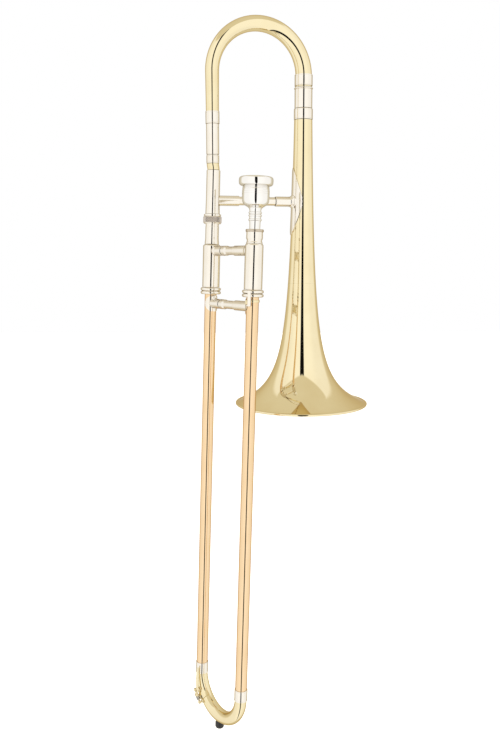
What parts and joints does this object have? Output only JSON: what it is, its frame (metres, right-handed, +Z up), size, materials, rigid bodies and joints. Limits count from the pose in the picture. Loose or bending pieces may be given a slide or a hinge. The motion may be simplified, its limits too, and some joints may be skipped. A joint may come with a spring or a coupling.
{
  "type": "alto trombone",
  "caption": "Alto trombone with tuning slide, swivelling bell lock, hand slide with lock and water key, and removable mouthpiece.",
  "frame": {"origin": "centre of the bell's rim plane, on the bell's axis", "axes": "+Z up the bell's axis towards the tuning bow, +X from the hand slide's side towards the bell, -Y towards the mouthpiece side"},
  "size_m": [0.2184, 0.2071, 0.8512],
  "materials": {
    "lacquered_brass": "clear-lacquered yellow brass, polished",
    "gold_brass": "clear-lacquered gold brass, polished",
    "nickel_silver": "polished nickel silver",
    "silver_plate": "bright silver plate",
    "steel": "plain spring steel",
    "cork": "natural cork",
    "rubber": "black rubber"
  },
  "bodies": {
    "bell_section": {"bell_flare": "lacquered_brass", "bell_stem": "lacquered_brass", "bell_ferrule": "nickel_silver", "bell_tuning_sleeve": "nickel_silver", "gooseneck_inner_leg": "nickel_silver", "gooseneck_ferrule": "nickel_silver", "gooseneck_tube": "lacquered_brass", "neck_tube": "nickel_silver", "bell_brace_neck_socket": "nickel_silver", "bell_brace_rod": "nickel_silver", "bell_brace_flange": "nickel_silver"},
    "bell_lock_nut": {"bell_lock_nut": "nickel_silver"},
    "tuning_slide": {"tuning_bow": "lacquered_brass", "bow_ferrule_gooseneck": "nickel_silver", "gooseneck_tuning_sleeve": "nickel_silver", "bow_ferrule_bell": "nickel_silver", "bell_side_inner_leg": "nickel_silver"},
    "inner_slide": {"slide_receiver_tube": "nickel_silver", "mouthpiece_receiver": "nickel_silver", "lower_cork_barrel": "nickel_silver", "lower_barrel_spring": "steel", "lower_barrel_bumper": "cork", "lower_inner_tube": "nickel_silver", "lower_stocking": "nickel_silver", "upper_cork_barrel": "nickel_silver", "upper_barrel_spring": "steel", "upper_barrel_bumper": "cork", "upper_inner_tube": "nickel_silver", "upper_stocking": "nickel_silver", "lower_barrel_end_ring": "nickel_silver", "upper_barrel_end_ring": "nickel_silver", "leadpipe": "nickel_silver", "inner_brace_lower_socket": "nickel_silver", "inner_brace_rod": "nickel_silver", "inner_brace_upper_socket": "nickel_silver"},
    "slide_lock": {"slide_lock_ring": "nickel_silver"},
    "mouthpiece": {"mouthpiece": "silver_plate"},
    "outer_slide": {"lower_outer_tube": "gold_brass", "upper_outer_tube": "gold_brass", "lower_crook_ferrule": "nickel_silver", "upper_crook_ferrule": "nickel_silver", "crook": "lacquered_brass", "lock_catch_ring": "lacquered_brass", "outer_brace_lower_socket": "nickel_silver", "outer_brace_rod": "nickel_silver", "outer_brace_upper_socket": "nickel_silver", "brace_stop_knob": "nickel_silver", "bumper_post": "lacquered_brass", "rubber_bumper": "rubber", "water_key_saddle": "nickel_silver", "water_key_screw": "steel", "water_key_spout": "nickel_silver"},
    "water_key": {"water_key_lever": "lacquered_brass", "water_key_cork": "cork", "water_key_spring": "steel"}
  },
  "joints": [
    {"name": "tuning_slide_pull", "type": "slide", "parent": "bell_section", "child": "tuning_slide", "axis": [0, 0, 1], "range_m": [0, 0.03]},
    {"name": "nut_turn", "type": "hinge", "parent": "bell_section", "child": "bell_lock_nut", "pos_m": [-0.1061, -0.0308, 0.2967], "axis": [-0.0312, -0.03, -0.9991], "continuous": true},
    {"name": "slide_swivel", "type": "hinge", "parent": "bell_section", "child": "inner_slide", "pos_m": [-0.1061, -0.0308, 0.2967], "axis": [0.0312, 0.03, 0.9991], "range_deg": [-60, 4]},
    {"name": "hand_slide", "type": "slide", "parent": "inner_slide", "child": "outer_slide", "axis": [-0.0312, -0.03, -0.9991], "range_m": [0, 0.42]},
    {"name": "slide_lock_turn", "type": "hinge", "parent": "inner_slide", "child": "slide_lock", "pos_m": [-0.05617, -0.09776, 0.29715], "axis": [-0.0312, -0.03, -0.9991], "range_deg": [0, 12]},
    {"name": "mouthpiece_pull", "type": "slide", "parent": "inner_slide", "child": "mouthpiece", "axis": [0.0312, 0.03, 0.9991], "range_m": [0, 0.06]},
    {"name": "water_key_swing", "type": "hinge", "parent": "outer_slide", "child": "water_key", "pos_m": [-0.13081, -0.06544, -0.36227], "axis": [-0.3746, 0.556, 0.7419], "range_deg": [0, 6], "stiffness_Nm_per_rad": 0.05, "springref_deg": -34.38}
  ]
}
